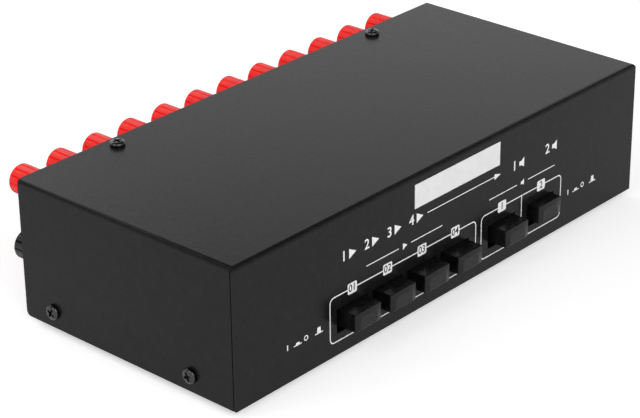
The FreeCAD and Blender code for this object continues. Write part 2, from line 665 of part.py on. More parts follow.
def make_return_spring(label, distance, latched):
    """A coil round the plunger, from the switch body's face to the cap, of three-sided wire."""
    front = sheet.button_length - sheet.button_reach
    if latched:
        front += sheet.latch_depth
    middle = sheet.spring_diameter / 2
    half = sheet.spring_wire / 2
    length = sheet.switch_setback - front - sheet.spring_wire
    steps = COIL_TURNS * COIL_SIDES
    section = [(middle - half, 0), (middle + half, -half), (middle + half, half)]
    rings = []
    for step in range(steps + 1):
        turn = 2 * math.pi * step / COIL_SIDES
        along = half + length * step / steps
        rings.append([Vector(radius * math.cos(turn), along + shift, radius * math.sin(turn))
                      for radius, shift in section])
    faces = [flat_face(rings[0]), flat_face(rings[-1])]
    for near_ring, far_ring in zip(rings, rings[1:]):
        for side in range(3):
            following = (side + 1) % 3
            faces.append(flat_face([near_ring[side], near_ring[following], far_ring[following]]))
            faces.append(flat_face([near_ring[side], far_ring[following], far_ring[side]]))
    coil = Part.Solid(Part.Shell(faces))
    if coil.Volume < 0:
        coil.reverse()
    spring = doc.addObject("Part::Feature", f"return_spring_{label}")
    spring.Label = spring.Name
    spring.Shape = coil
    return place(spring, x=across(distance), z="params.button_level",
                 y=f"{CAP_REAR} + {stand_in(latched)}")


def flat_face(points):
    return Part.Face(Part.makePolygon(points + points[:1]))


pieces = [make_top_cover(), make_base_tray(), make_cover_screws(), make_rubber_feet(), make_terminal_plate()]
for row in ROWS:
    pieces += [make_studs(row), make_bus_links(row)]
    for number in range(1, int(sheet.post_count) + 1):
        pieces.append(make_post_cap(row, number))
pieces += [make_main_board(), make_board_supports()]
for label, distance, latched in BUTTONS:
    pieces.append(make_switch_body(label, distance))
    pieces.append(make_plunger(label, distance, latched))
    pieces.append(make_button(label, distance, latched))
    pieces.append(make_return_spring(label, distance, latched))
doc.recompute()

for thing in doc.Objects:
    if {"Invalid", "Error"} & set(thing.State):
        raise RuntimeError(f"{thing.Label} failed: {thing.State}")
for piece in pieces:
    if piece.Shape.isNull() or not piece.Shape.isValid():
        raise RuntimeError(f"{piece.Label} has no valid shape")

os.makedirs("parts", exist_ok=True)
for piece in pieces:
    piece.Shape.exportStep(f"parts/{piece.Label}.step")
print(f"{len(pieces)} pieces written")
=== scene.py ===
# Speaker selector switch: every visible surface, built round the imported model.
# Metres, +Z up, X along the case, Y from the buttons to the posts.

import json
import math

import bmesh
import bpy
from mathutils import Matrix, Vector


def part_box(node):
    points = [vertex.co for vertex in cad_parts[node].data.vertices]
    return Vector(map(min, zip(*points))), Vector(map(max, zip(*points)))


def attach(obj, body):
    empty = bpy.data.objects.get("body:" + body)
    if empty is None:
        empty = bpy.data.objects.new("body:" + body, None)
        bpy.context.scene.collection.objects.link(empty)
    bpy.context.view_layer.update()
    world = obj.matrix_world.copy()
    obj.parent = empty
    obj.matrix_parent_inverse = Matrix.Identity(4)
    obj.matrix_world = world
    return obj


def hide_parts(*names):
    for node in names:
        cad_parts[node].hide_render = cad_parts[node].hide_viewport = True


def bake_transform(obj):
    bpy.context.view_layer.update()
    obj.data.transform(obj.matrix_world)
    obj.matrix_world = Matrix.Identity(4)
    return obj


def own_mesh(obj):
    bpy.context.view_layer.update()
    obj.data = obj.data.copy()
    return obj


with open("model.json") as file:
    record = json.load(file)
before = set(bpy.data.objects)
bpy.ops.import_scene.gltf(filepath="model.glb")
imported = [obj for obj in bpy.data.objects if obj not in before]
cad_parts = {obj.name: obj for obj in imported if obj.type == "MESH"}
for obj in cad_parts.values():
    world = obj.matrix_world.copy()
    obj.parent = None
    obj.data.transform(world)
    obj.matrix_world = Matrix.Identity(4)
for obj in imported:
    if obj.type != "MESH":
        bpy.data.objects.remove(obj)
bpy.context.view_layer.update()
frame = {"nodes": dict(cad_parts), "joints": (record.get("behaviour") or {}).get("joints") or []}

mm = 0.001
near = 0.01 * mm  # a point this close to a plane lies on it
weld = 0.001 * mm  # points closer than this are merged
past = 1 * mm  # how far a cutter goes past the face that it cuts
coverLow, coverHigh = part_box("top_cover")
buttonNames = ["01", "02", "03", "04", "a", "b"]
postNumbers = range(1, 13)


def onFront(fromLeft, up):
    # a point of the front panel, in mm from the case's left end and the cover's lower edge
    return Vector((coverLow.x + fromLeft * mm, coverLow.y, coverLow.z + up * mm))


# modelling helpers

def deselectAll():
    if bpy.context.mode != "OBJECT":
        bpy.ops.object.mode_set(mode="OBJECT")
    bpy.ops.object.select_all(action="DESELECT")


def useOnly(piece):
    deselectAll()
    piece.select_set(True)
    bpy.context.view_layer.objects.active = piece


def settle(name):
    # leaves the active object at the origin, unturned, with its place in its mesh
    piece = bpy.context.object
    bpy.ops.object.transform_apply(location=True, rotation=True, scale=True)
    piece.name = name
    piece.data.name = name
    return piece


def addBox(name, low, high):
    deselectAll()
    low, high = Vector(low), Vector(high)
    bpy.ops.mesh.primitive_cube_add(size=1, location=(low + high) / 2, scale=high - low)
    return settle(name)


def addRod(name, radius, start, end, sides):
    deselectAll()
    start, end = Vector(start), Vector(end)
    run = end - start
    bpy.ops.mesh.primitive_cylinder_add(
        vertices=sides, radius=radius, depth=run.length, location=(start + end) / 2,
        rotation=run.to_track_quat("Z", "Y").to_euler())
    return settle(name)


def drawLine(places):
    # starts a new mesh with one vertex, extrudes it from place to place and stays in edit mode
    deselectAll()
    bpy.ops.mesh.primitive_plane_add(size=mm)
    bpy.ops.object.mode_set(mode="EDIT")
    bpy.ops.mesh.select_mode(type="VERT")
    bpy.ops.mesh.select_all(action="SELECT")
    bpy.ops.mesh.merge(type="CENTER")
    bpy.ops.transform.translate(value=places[0])
    for before, after in zip(places, places[1:]):
        bpy.ops.mesh.extrude_region_move(TRANSFORM_OT_translate={"value": after - before})
    bpy.ops.mesh.select_all(action="SELECT")


def faceOutwards():
    # in edit mode: turns every face outwards, then leaves edit mode
    bpy.ops.mesh.select_all(action="SELECT")
    bpy.ops.mesh.normals_make_consistent(inside=False)
    bpy.ops.object.mode_set(mode="OBJECT")


def turnOutline(name, outline, origin, axis, radial, steps):
    # draws (radius, along) points one after another, closes them and spins them about the axis
    origin, axis, radial = Vector(origin), Vector(axis), Vector(radial)
    drawLine([origin + radial * radius + axis * along for radius, along in outline])
    if outline[0][0] > 0:
        bpy.ops.mesh.edge_face_add()
        bpy.ops.mesh.delete(type="ONLY_FACE")
        bpy.ops.mesh.select_all(action="SELECT")
    bpy.ops.mesh.spin(steps=steps, angle=math.tau, center=origin, axis=axis)
    bpy.ops.mesh.select_all(action="SELECT")
    bpy.ops.mesh.remove_doubles(threshold=weld)
    faceOutwards()
    return settle(name)


def pick(piece, kind, test):
    # in edit mode: selects the vertices, edges or faces that pass a test
    cage = bmesh.from_edit_mesh(piece.data)
    bpy.ops.mesh.select_all(action="DESELECT")
    for part in getattr(cage, kind):
        part.select_set(test(part))
    cage.select_flush_mode()
    bmesh.update_edit_mesh(piece.data)


def edit(piece, selectMode):
    useOnly(piece)
    bpy.ops.object.mode_set(mode="EDIT")
    bpy.ops.mesh.select_mode(type=selectMode)


def applyModifier(piece, kind, **settings):
    useOnly(piece)
    modifier = piece.modifiers.new(kind.title(), kind)
    for setting, value in settings.items():
        setattr(modifier, setting, value)
    bpy.ops.object.modifier_apply(modifier=modifier.name)


def closeEnds(piece):
    # after a screw: merges what doubles and fills the two open ends
    edit(piece, "VERT")
    bpy.ops.mesh.select_all(action="SELECT")
    bpy.ops.mesh.remove_doubles(threshold=weld)
    bpy.ops.mesh.select_all(action="DESELECT")
    bpy.ops.mesh.select_non_manifold()
    bpy.ops.mesh.edge_face_add()
    faceOutwards()


def cut(piece, cutters):
    cutter = join(cutters, "cutter")
    applyModifier(piece, "BOOLEAN", object=cutter, operation="DIFFERENCE", solver="EXACT")
    bpy.data.objects.remove(cutter)


def join(parts, name):
    deselectAll()
    for part in parts:
        part.select_set(True)
    bpy.context.view_layer.objects.active = parts[0]
    if len(parts) > 1:
        bpy.ops.object.join()
    piece = bpy.context.object
    piece.name = name
    piece.data.name = name
    return piece


def softenEdges(piece, width, segments=2, angle=40):
    applyModifier(piece, "BEVEL", width=width, segments=segments, limit_method="ANGLE",
                  angle_limit=math.radians(angle), use_clamp_overlap=True)


def smooth(piece, angle=30, weighted=True):
    useOnly(piece)
    bpy.ops.object.shade_smooth_by_angle(angle=math.radians(angle))
    if weighted:
        applyModifier(piece, "WEIGHTED_NORMAL", keep_sharp=True, weight=100)


def copyPiece(piece, name, placement):
    # a copy with its own mesh, moved or turned in the mesh
    twin = piece.copy()
    twin.data = piece.data.copy()
    twin.data.transform(placement)
    twin.name = name
    twin.data.name = name
    bpy.context.scene.collection.objects.link(twin)
    return twin


def shift(offset):
    return Matrix.Translation(Vector(offset))


def dress(piece, material, body, slot, *nodes):
    piece.data.materials.clear()
    piece.data.materials.append(material)
    if body:
        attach(piece, body)
    if nodes:
        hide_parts(*nodes)


# materials

class Finish:
    # a material with its shader, and short ways to feed it patterns in object coordinates
    def __init__(self, name, **sockets):
        self.material = bpy.data.materials.new(name)
        self.material.use_nodes = True
        self.nodes = self.material.node_tree.nodes
        self.links = self.material.node_tree.links
        self.shader = self.nodes["Principled BSDF"]
        self.place = self.nodes.new("ShaderNodeTexCoord").outputs["Object"]
        for socket, value in sockets.items():
            self.shader.inputs[socket.replace("_", " ")].default_value = value

    def stretch(self, scale):
        mapping = self.nodes.new("ShaderNodeMapping")
        mapping.inputs["Scale"].default_value = scale
        self.links.new(self.place, mapping.inputs["Vector"])
        return mapping.outputs["Vector"]

    def noise(self, size, detail, place=None):
        # a cloudy pattern whose spots are about this size, in mm
        pattern = self.nodes.new("ShaderNodeTexNoise")
        pattern.inputs["Scale"].default_value = 1 / (size * mm)
        pattern.inputs["Detail"].default_value = detail
        self.links.new(place or self.place, pattern.inputs["Vector"])
        return pattern.outputs["Fac"]

    def colours(self, pattern, dark, light, start=0.35, end=0.65):
        ramp = self.nodes.new("ShaderNodeValToRGB")
        for element, place, colour in zip(ramp.color_ramp.elements, (start, end), (dark, light)):
            element.position = place
            element.color = (*colour, 1)
        self.links.new(pattern, ramp.inputs["Fac"])
        self.links.new(ramp.outputs["Color"], self.shader.inputs["Base Color"])

    def rough(self, pattern, low, high, start=0.3, end=0.7):
        spread = self.nodes.new("ShaderNodeMapRange")
        spread.inputs["From Min"].default_value = start
        spread.inputs["From Max"].default_value = end
        spread.inputs["To Min"].default_value = low
        spread.inputs["To Max"].default_value = high
        self.links.new(pattern, spread.inputs["Value"])
        self.links.new(spread.outputs["Result"], self.shader.inputs["Roughness"])

    def bump(self, pattern, depth, strength):
        # a bump this deep, in mm, on top of the bump that is there
        bump = self.nodes.new("ShaderNodeBump")
        bump.inputs["Distance"].default_value = depth * mm
        bump.inputs["Strength"].default_value = strength
        before = self.shader.inputs["Normal"].links
        if before:
            self.links.new(before[0].from_socket, bump.inputs["Normal"])
        self.links.new(pattern, bump.inputs["Height"])
        self.links.new(bump.outputs["Normal"], self.shader.inputs["Normal"])


def grey(level):
    return (level, level, level)


coat = {
    "shine": 0.122,
    "rough": (0.25, 0.29),
    "cloudSize": 3.5,  # sizes and depths in mm
    "grainSize": 0.35,
    "grainDepth": 0.01,
    "grainStrength": 0.5,
    "rippleSize": 2.2,
    "rippleDepth": 0.02,
    "rippleStrength": 0.25,
}


def powderCoat(name, dark, light):
    paint = Finish(name, Specular_IOR_Level=coat["shine"])
    grain = paint.noise(coat["grainSize"], detail=2)
    clouds = paint.noise(coat["cloudSize"], detail=4)
    paint.colours(clouds, grey(dark), grey(light))
    paint.rough(clouds, *coat["rough"])
    paint.bump(grain, coat["grainDepth"], coat["grainStrength"])
    ripple = paint.noise(coat["rippleSize"], detail=1)
    paint.bump(ripple, coat["rippleDepth"], coat["rippleStrength"])
    return paint.material


mould = {"cloudSize": 3, "cloudDetail": 3, "grainStrength": 0.5}


def moulded(name, dark, light, rough, grain, depth, **sockets):
    # an even skin with a fine grain; grain and depth in mm
    skin = Finish(name, **sockets)
    clouds = skin.noise(mould["cloudSize"], mould["cloudDetail"])
    skin.colours(clouds, dark, light)
    skin.rough(clouds, *rough)
    skin.bump(skin.noise(grain, detail=1), depth, mould["grainStrength"])
    return skin.material


drawn = {"cloudSize": 2, "streakSize": 0.25, "streakScale": (1, 0.12, 1), "depth": 0.006, "strength": 0.4}


def drawnMetal(name, dark, light, rough):
    # bare metal with streaks along Y
    metal = Finish(name, Metallic=1.0)
    streaks = metal.noise(drawn["streakSize"], detail=2, place=metal.stretch(drawn["streakScale"]))
    metal.colours(metal.noise(drawn["cloudSize"], detail=2), dark, light)
    metal.rough(streaks, *rough)
    metal.bump(streaks, drawn["depth"], drawn["strength"])
    return metal.material


finishes = {
    "case_paint": powderCoat("blackPowderCoat", 0.006, 0.0085),
    "tray_paint": powderCoat("trayPowderCoat", 0.006, 0.008),
    "screw_finish": moulded("blackNickel", grey(0.045), grey(0.065), rough=(0.1, 0.16),
                            grain=0.2, depth=0.004, Metallic=1.0),
    "foot_rubber": moulded("blackRubber", grey(0.012), grey(0.02), rough=(0.7, 0.85),
                           grain=0.4, depth=0.02),
    "terminal_plastic": moulded("terminalPlastic", grey(0.012), grey(0.018), rough=(0.38, 0.5),
                                grain=0.25, depth=0.006),
    "stud_brass": drawnMetal("goldPlatedBrass", (0.78, 0.52, 0.18), (0.9, 0.64, 0.26), rough=(0.14, 0.28)),
    "link_metal": drawnMetal("tinnedCopper", grey(0.55), grey(0.68), rough=(0.3, 0.45)),
    # brown laminate, made darker than bare board with painted shade, so that the board reads black through
    # the button slots
    "board_laminate": moulded("boardLaminate", (0.08, 0.05, 0.022), (0.12, 0.075, 0.035),
                              rough=(0.45, 0.6), grain=0.3, depth=0.01),
    "support_nylon": moulded("whiteNylon", grey(0.68), grey(0.76), rough=(0.4, 0.5),
                             grain=0.4, depth=0.004),
    "switch_plastic": moulded("switchPlastic", grey(0.02), grey(0.03), rough=(0.4, 0.55),
                              grain=0.25, depth=0.006),
    "plunger_plastic": moulded("plungerPlastic", grey(0.6), grey(0.7), rough=(0.35, 0.45),
                               grain=0.3, depth=0.004),
    "button_plastic": moulded("buttonPlastic", grey(0.003), grey(0.005), rough=(0.24, 0.3),
                              grain=0.15, depth=0.003, Specular_IOR_Level=0.21),
    "red_cap_plastic": moulded("redCapPlastic", (0.9, 0.022, 0.017), (0.95, 0.03, 0.024),
                               rough=(0.34, 0.42), grain=0.6, depth=0.004, Specular_IOR_Level=0.2),
    "black_cap_plastic": moulded("blackCapPlastic", grey(0.008), grey(0.012), rough=(0.34, 0.42),
                                 grain=0.6, depth=0.004, Specular_IOR_Level=0.3),
    "spring_steel": drawnMetal("springSteel", grey(0.5), grey(0.62), rough=(0.2, 0.35)),
}
inkWhite = moulded("whiteInk", grey(0.9), grey(0.95), rough=(0.4, 0.55), grain=0.3, depth=0.004)
labelPaper = moulded("labelPaper", grey(0.8), grey(0.84), rough=(0.35, 0.5), grain=2.5, depth=0.01)
print("materials made")


# cover

coverSheet = {
    "thickness": 1.0 * mm,
    "bend": 1.8 * mm,
    "bendSteps": 6,
    "endCorner": 2.0 * mm,
    "cornerSteps": 5,
    "seamFront": 0.85 * mm,  # the seam's start behind the front face
    "seamWidth": 0.4 * mm,
    "seamTop": 0.9 * mm,  # the seam's end below the top
    "seamReach": 1.2 * mm,  # how far the cutter goes past the end's face, in and out
    "slotWidth": 16.9 * mm,
    "slotHeight": 9.8 * mm,
    "slotDrop": 1.1 * mm,  # the slot's middle below the button's
    "slotReach": 2.0 * mm,
    "edgeRound": 0.1 * mm,
}


def slotCutters():
    half = Vector((coverSheet["slotWidth"] / 2, coverSheet["slotReach"], coverSheet["slotHeight"] / 2))
    cutters = []
    for label in buttonNames:
        low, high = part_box("button_" + label)
        middle = (low + high) / 2
        centre = Vector((middle.x, coverLow.y, middle.z - coverSheet["slotDrop"]))
        cutters.append(addBox("slot", centre - half, centre + half))
    return cutters


def seamCutters():
    reach, front = coverSheet["seamReach"], coverLow.y + coverSheet["seamFront"]
    rear = front + coverSheet["seamWidth"]
    bottom, top = coverLow.z - past, coverHigh.z - coverSheet["seamTop"]
    return [addBox("seam", (x - reach, front, bottom), (x + reach, rear, top))
            for x in (coverLow.x, coverHigh.x)]


def makeCover():
    piece = addBox("topCover", coverLow, coverHigh)
    edit(piece, "FACE")
    pick(piece, "faces", lambda face: face.normal.z < -0.9 or face.normal.y > 0.9)  # bottom and rear
    bpy.ops.mesh.delete(type="FACE")
    bpy.ops.mesh.select_mode(type="VERT")
    pick(piece, "verts", lambda vert: vert.co.y > coverHigh.y - near and vert.co.z < coverLow.z + near)
    bpy.ops.mesh.bevel(offset=coverSheet["endCorner"], segments=coverSheet["cornerSteps"],
                       affect="VERTICES")
    bpy.ops.mesh.select_mode(type="EDGE")
    pick(piece, "edges", lambda edge: (  # the top's edges, without the open one at the rear
        all(vert.co.z > coverHigh.z - near for vert in edge.verts)
        and not all(vert.co.y > coverHigh.y - near for vert in edge.verts)))
    bpy.ops.mesh.bevel(offset=coverSheet["bend"], segments=coverSheet["bendSteps"], affect="EDGES")
    applyModifier(piece, "SOLIDIFY", thickness=coverSheet["thickness"], offset=-1, use_even_offset=True)
    cut(piece, slotCutters() + seamCutters())
    softenEdges(piece, coverSheet["edgeRound"])
    smooth(piece)
    dress(piece, finishes["case_paint"], "case", "case_paint", "top_cover")
    print("cover made")


makeCover()


# cover screws

screw = {
    "headRadius": 3.0 * mm,
    "headHeight": 1.8 * mm,
    "headRim": 0.15 * mm,
    # shares of the head's radius and height
    "dome": [(1, 0.45), (0.96, 0.68), (0.86, 0.86), (0.7, 0.96), (0.5, 1), (0, 1)],
    "shankRadius": 1.5 * mm,
    "shankLength": 6.0 * mm,
    "tipRadius": 1.2 * mm,
    "tipLength": 0.4 * mm,
    "crossLength": 3.6 * mm,
    "crossWidth": 0.95 * mm,
    "crossDepth": 1.1 * mm,
    "edgeRound": 0.06 * mm,
    "sides": 32,
    "endHeight": 6.7 * mm,  # the end screws, from the cover's lower, front and rear edges
    "endFront": 21.7 * mm,
    "endRear": 15.4 * mm,
    "topInset": 44.5 * mm,  # the top screws, from the ends and the rear edge
    "topRear": 5.9 * mm,
    "firstTurn": 25,  # degrees that the first cross is turned, and each next one further
    "nextTurn": 37,
}


def screwPlaces():
    # each screw's seat and the direction that its head looks in
    places = []
    for x, outward in ((coverLow.x, Vector((-1, 0, 0))), (coverHigh.x, Vector((1, 0, 0)))):
        for y in (coverLow.y + screw["endFront"], coverHigh.y - screw["endRear"]):
            places.append((Vector((x, y, coverLow.z + screw["endHeight"])), outward))
    for x in (coverLow.x + screw["topInset"], coverHigh.x - screw["topInset"]):
        places.append((Vector((x, coverHigh.y - screw["topRear"], coverHigh.z)), Vector((0, 0, 1))))
    return places


def makeScrews():
    top, wide = screw["headHeight"], screw["headRadius"]
    shank, length = screw["shankRadius"], screw["shankLength"]
    outline = [
        (0, -length),
        (screw["tipRadius"], -length),
        (shank, screw["tipLength"] - length),
        (shank, 0),
        (wide - screw["headRim"], 0),
        (wide, screw["headRim"]),
    ]
    outline += [(wide * across, top * up) for across, up in screw["dome"]]
    first = turnOutline("screw", outline, (0, 0, 0), (0, 0, 1), (1, 0, 0), screw["sides"])
    half, thin, floor = screw["crossLength"] / 2, screw["crossWidth"] / 2, top - screw["crossDepth"]
    for x, y in ((half, thin), (thin, half)):
        cut(first, [addBox("arm", (-x, -y, floor), (x, y, top + past))])
    softenEdges(first, screw["edgeRound"])
    smooth(first)
    copies = []
    for number, (seat, outward) in enumerate(screwPlaces()):
        turn = outward.to_track_quat("Z", "Y").to_matrix().to_4x4()
        spin = Matrix.Rotation(math.radians(screw["firstTurn"] + screw["nextTurn"] * number), 4, "Z")
        copies.append(copyPiece(first, "screw", shift(seat) @ turn @ spin))
    bpy.data.objects.remove(first)
    piece = join(copies, "coverScrews")
    dress(piece, finishes["screw_finish"], "case", "screw_finish", "cover_screws")
    print("screws made")


makeScrews()


# feet

foot = {
    "radius": 6.0 * mm,
    "height": 3.0 * mm,
    "rim": 0.5 * mm,  # the straight part under the tray
    "taper": 0.5 * mm,
    "round": 0.5 * mm,
    "dishRadius": 2.7 * mm,
    "dishFloor": 2.4 * mm,
    "dishDepth": 0.4 * mm,
    "sides": 48,
    "inset": 16.0 * mm,
}


def makeFeet():
    wide, low, curve = foot["radius"], -foot["height"], foot["round"]
    side, dish = wide - foot["taper"], low + foot["dishDepth"]
    outline = [
        (0, 0),
        (wide, 0),
        (wide, -foot["rim"]),
        (side, low + curve),
        (side - curve * 0.3, low + curve * 0.3),  # halfway round the edge
        (side - curve, low),
        (foot["dishRadius"], low),
        (foot["dishFloor"], dish),
        (0, dish),
    ]
    first = turnOutline("foot", outline, (0, 0, 0), (0, 0, 1), (1, 0, 0), foot["sides"])
    smooth(first)
    copies = []
    for x in (coverLow.x + foot["inset"], coverHigh.x - foot["inset"]):
        for y in (coverLow.y + foot["inset"], coverHigh.y - foot["inset"]):
            copies.append(copyPiece(first, "foot", shift((x, y, coverLow.z))))
    bpy.data.objects.remove(first)
    piece = join(copies, "rubberFeet")
    dress(piece, finishes["foot_rubber"], "case", "foot_rubber", "rubber_feet")
    print("feet made")


makeFeet()


# push buttons

button = {
    "edgeRound": 0.25 * mm,
    "padSide": 2.4 * mm,  # the front's raised pad, from the cap's sides, top and bottom
    "padTop": 1.8 * mm,
    "padBottom": 0.5 * mm,
    "padCorner": 2.4 * mm,
    "cornerSteps": 8,
    "padHeight": 0.5 * mm,
    "socket": 3.5 * mm,
    "socketDepth": 3.0 * mm,
}


def makeFrontOutline(low, high, y, corner):
    # a flat rectangle as one face, with its two upper corners rounded
    middle = (low + high) / 2
    deselectAll()
    bpy.ops.mesh.primitive_plane_add(size=1, rotation=(math.pi / 2, 0, 0),
                                     location=(middle.x, y, middle.z))
    bpy.context.object.scale = (high.x - low.x, high.z - low.z, 1)
    outline = settle("outline")
    if corner:
        edit(outline, "VERT")
        pick(outline, "verts", lambda vert: vert.co.z > middle.z)
        bpy.ops.mesh.bevel(offset=corner, segments=button["cornerSteps"], affect="VERTICES")
        bpy.ops.object.mode_set(mode="OBJECT")
    return outline


def makeButtons():
    low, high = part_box("button_01")
    middle = (low + high) / 2
    padLow = Vector((low.x + button["padSide"], low.y, low.z + button["padBottom"]))
    padHigh = Vector((high.x - button["padSide"], low.y, high.z - button["padTop"]))
    rim = low.y + button["padHeight"]
    pad = makeFrontOutline(padLow, padHigh, low.y, button["padCorner"])
    first = join([pad, makeFrontOutline(low, high, rim, 0)], "buttonCap")
    edit(first, "FACE")
    pick(first, "faces", lambda face: face.calc_center_median().y > low.y + near)
    bpy.ops.mesh.extrude_region_move(TRANSFORM_OT_translate={"value": (0, high.y - rim, 0)})
    pick(first, "faces", lambda face: abs(face.calc_center_median().y - rim) < near)
    bpy.ops.mesh.delete(type="ONLY_FACE")
    bpy.ops.mesh.select_mode(type="EDGE")
    pick(first, "edges", lambda edge: max(vert.co.y for vert in edge.verts) < rim + near)
    bpy.ops.mesh.bridge_edge_loops()
    pick(first, "edges", lambda edge: max(vert.co.y for vert in edge.verts) < low.y + near)
    bpy.ops.mesh.mark_sharp()
    faceOutwards()
    half, floor = button["socket"] / 2, high.y - button["socketDepth"]
    cut(first, [addBox("socket", (middle.x - half, floor, middle.z - half),
                       (middle.x + half, high.y + past, middle.z + half))])
    softenEdges(first, button["edgeRound"], segments=3, angle=50)
    smooth(first)
    for label in buttonNames:
        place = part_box("button_" + label)[0] - low
        piece = copyPiece(first, "buttonCap" + label.upper(), shift(place))
        dress(piece, finishes["button_plastic"], "push_button_" + label, "button_plastic",
              "button_" + label)
    bpy.data.objects.remove(first)
    print("buttons made")


makeButtons()


# return springs

spring = {"coilRadius": 3.2 * mm, "wireRadius": 0.3 * mm, "turns": 5, "steps": 20, "sides": 8}


def makeSprings():
    for label in buttonNames:
        name = "return_spring_" + label
        low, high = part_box(name)
        centre = (low + high) / 2
        length = high.y - low.y - 2 * spring["wireRadius"]
        deselectAll()
        bpy.ops.mesh.primitive_circle_add(vertices=spring["sides"], radius=spring["wireRadius"],
                                          fill_type="NOTHING", location=(spring["coilRadius"], 0, 0))
        piece = settle("returnSpring" + label.upper())
        applyModifier(piece, "SCREW", axis="Y", angle=math.tau, screw_offset=length / spring["turns"],
                      iterations=spring["turns"], steps=spring["steps"], render_steps=spring["steps"])
        piece.data.transform(shift((centre.x, low.y + spring["wireRadius"], centre.z)))
        closeEnds(piece)
        smooth(piece, angle=60, weighted=False)
        joint = next(j for j in frame["joints"] if j["name"] == f"button_{label}_push")
        latched = joint["range_m"][0] < 0  # it rests pressed in, and can also move out
        dress(piece, finishes["spring_steel"], None if latched else "case", "spring_steel", name)
        if latched:
            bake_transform(piece)
        else:
            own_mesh(piece)
    print("springs made")


makeSprings()


# screw caps

postCap = {
    "flutes": 12,
    "stepsPerFlute": 8,
    "turn": 9.0,  # degrees from +X to the first groove
    "grooveScale": [0.885, 0.985],  # at the groove's middle and one step off it
    "grooveTurn": 11.0,  # degrees from one cap's grooves to the next cap's
    "bore": 3.05 * mm,
    "mouth": 0.5 * mm,
    "endRound": 0.8 * mm,
    "endSteps": 4,
    "baseBevel": 0.35 * mm,
}


def makeCap(low, high):
    radius = (high.z - low.z) / 2
    length = high.y - low.y
    centre = Vector(((low.x + high.x) / 2, low.y, (low.z + high.z) / 2))
    bore, mouth, bevel, curve = (postCap[size] for size in ("bore", "mouth", "baseBevel", "endRound"))
    outline = [(bore, 0), (radius - bevel, 0), (radius, bevel)]
    for step in range(postCap["endSteps"] + 1):
        bend = math.radians(90 * step / postCap["endSteps"])
        outline.append((radius - curve * (1 - math.cos(bend)), length - curve * (1 - math.sin(bend))))
    outline += [(bore + mouth, length), (bore, length - mouth)]
    turn = math.radians(postCap["turn"])
    steps = postCap["flutes"] * postCap["stepsPerFlute"]
    radial = (math.cos(turn), 0, math.sin(turn))
    piece = turnOutline("postCap", outline, centre, (0, 1, 0), radial, steps)
    edit(piece, "VERT")
    for offset, scale in enumerate(postCap["grooveScale"]):
        def inGroove(vert):
            # a point of the outer wall, this many steps off a groove's middle
            across = vert.co - centre
            inBore = math.hypot(across.x, across.z) < radius - bevel - near
            if inBore or across.y > length - curve + near:
                return False
            step = round((math.atan2(across.z, across.x) - turn) / math.tau * steps)
            place = step % postCap["stepsPerFlute"]
            return min(place, postCap["stepsPerFlute"] - place) == offset
        pick(piece, "verts", inGroove)
        bpy.ops.transform.resize(value=(scale, 1, scale), center_override=centre)
    bpy.ops.object.mode_set(mode="OBJECT")
    smooth(piece, angle=28)
    return piece


def makeCaps():
    firstLow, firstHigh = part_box("red_post_cap_01")
    centre = (firstLow + firstHigh) / 2
    first = makeCap(firstLow, firstHigh)
    for row in ("red", "black"):
        for number in postNumbers:
            node = f"{row}_post_cap_{number:02d}"
            turn = Matrix.Rotation(math.radians(postCap["grooveTurn"] * number), 4, "Y")
            place = shift(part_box(node)[0] - firstLow + centre) @ turn @ shift(-centre)
            piece = copyPiece(first, f"{row}Cap{number:02d}", place)
            slot = f"{row}_cap_plastic"
            dress(piece, finishes[slot], f"{row}_terminal_cap_{number:02d}", slot, node)
    bpy.data.objects.remove(first)
    print("screw caps made")


makeCaps()


# studs

stud = {
    "radius": 3.0 * mm,
    "root": 2.62 * mm,
    "sunk": 0.1 * mm,  # the thread's foot below the core's surface
    "pitch": 1.0 * mm,
    "tooth": (0.0, 0.36, 0.5, 0.86),  # foot, crest, crest and foot, in pitches along the stud
    "threadStart": 0.1 * mm,
    "bareEnd": 0.5 * mm,
    "steps": 24,
    "endBevel": 0.25 * mm,
    "socket": 2.0 * mm,
    "socketLength": 15.0 * mm,
    "mouth": 0.3 * mm,
    "overlap": 0.5 * mm,  # the core's reach into the tail
    "tailFlats": 7.0 * mm,
    "tailBevel": 0.3 * mm,
}


def makeStudCore(length):
    # the turned rod under the thread, with the socket in its end
    root, hollow, mouth, bevel = (stud[size] for size in ("root", "socket", "mouth", "endBevel"))
    outline = [
        (0, -stud["overlap"]),
        (root, -stud["overlap"]),
        (root, length - bevel),
        (root - bevel, length),
        (hollow + mouth, length),
        (hollow, length - mouth),
        (hollow, length - stud["socketLength"]),
        (0, length - stud["socketLength"]),
    ]
    return turnOutline("studCore", outline, (0, 0, 0), (0, 1, 0), (1, 0, 0), stud["steps"] * 2)


def makeThread(length):
    # one tooth, screwed up the core as a ridge with closed ends
    crest, base, pitch = stud["radius"], stud["root"] - stud["sunk"], stud["pitch"]
    start = stud["threadStart"]
    turns = int((length - start - stud["bareEnd"]) / pitch)
    tooth = zip((base, crest, crest, base), stud["tooth"])
    drawLine([Vector((radius, start + along * pitch, 0)) for radius, along in tooth])
    bpy.ops.mesh.edge_face_add()
    bpy.ops.mesh.delete(type="ONLY_FACE")
    bpy.ops.object.mode_set(mode="OBJECT")
    piece = settle("thread")
    applyModifier(piece, "SCREW", axis="Y", angle=math.tau, screw_offset=pitch, iterations=turns,
                  steps=stud["steps"], render_steps=stud["steps"])
    closeEnds(piece)
    return piece


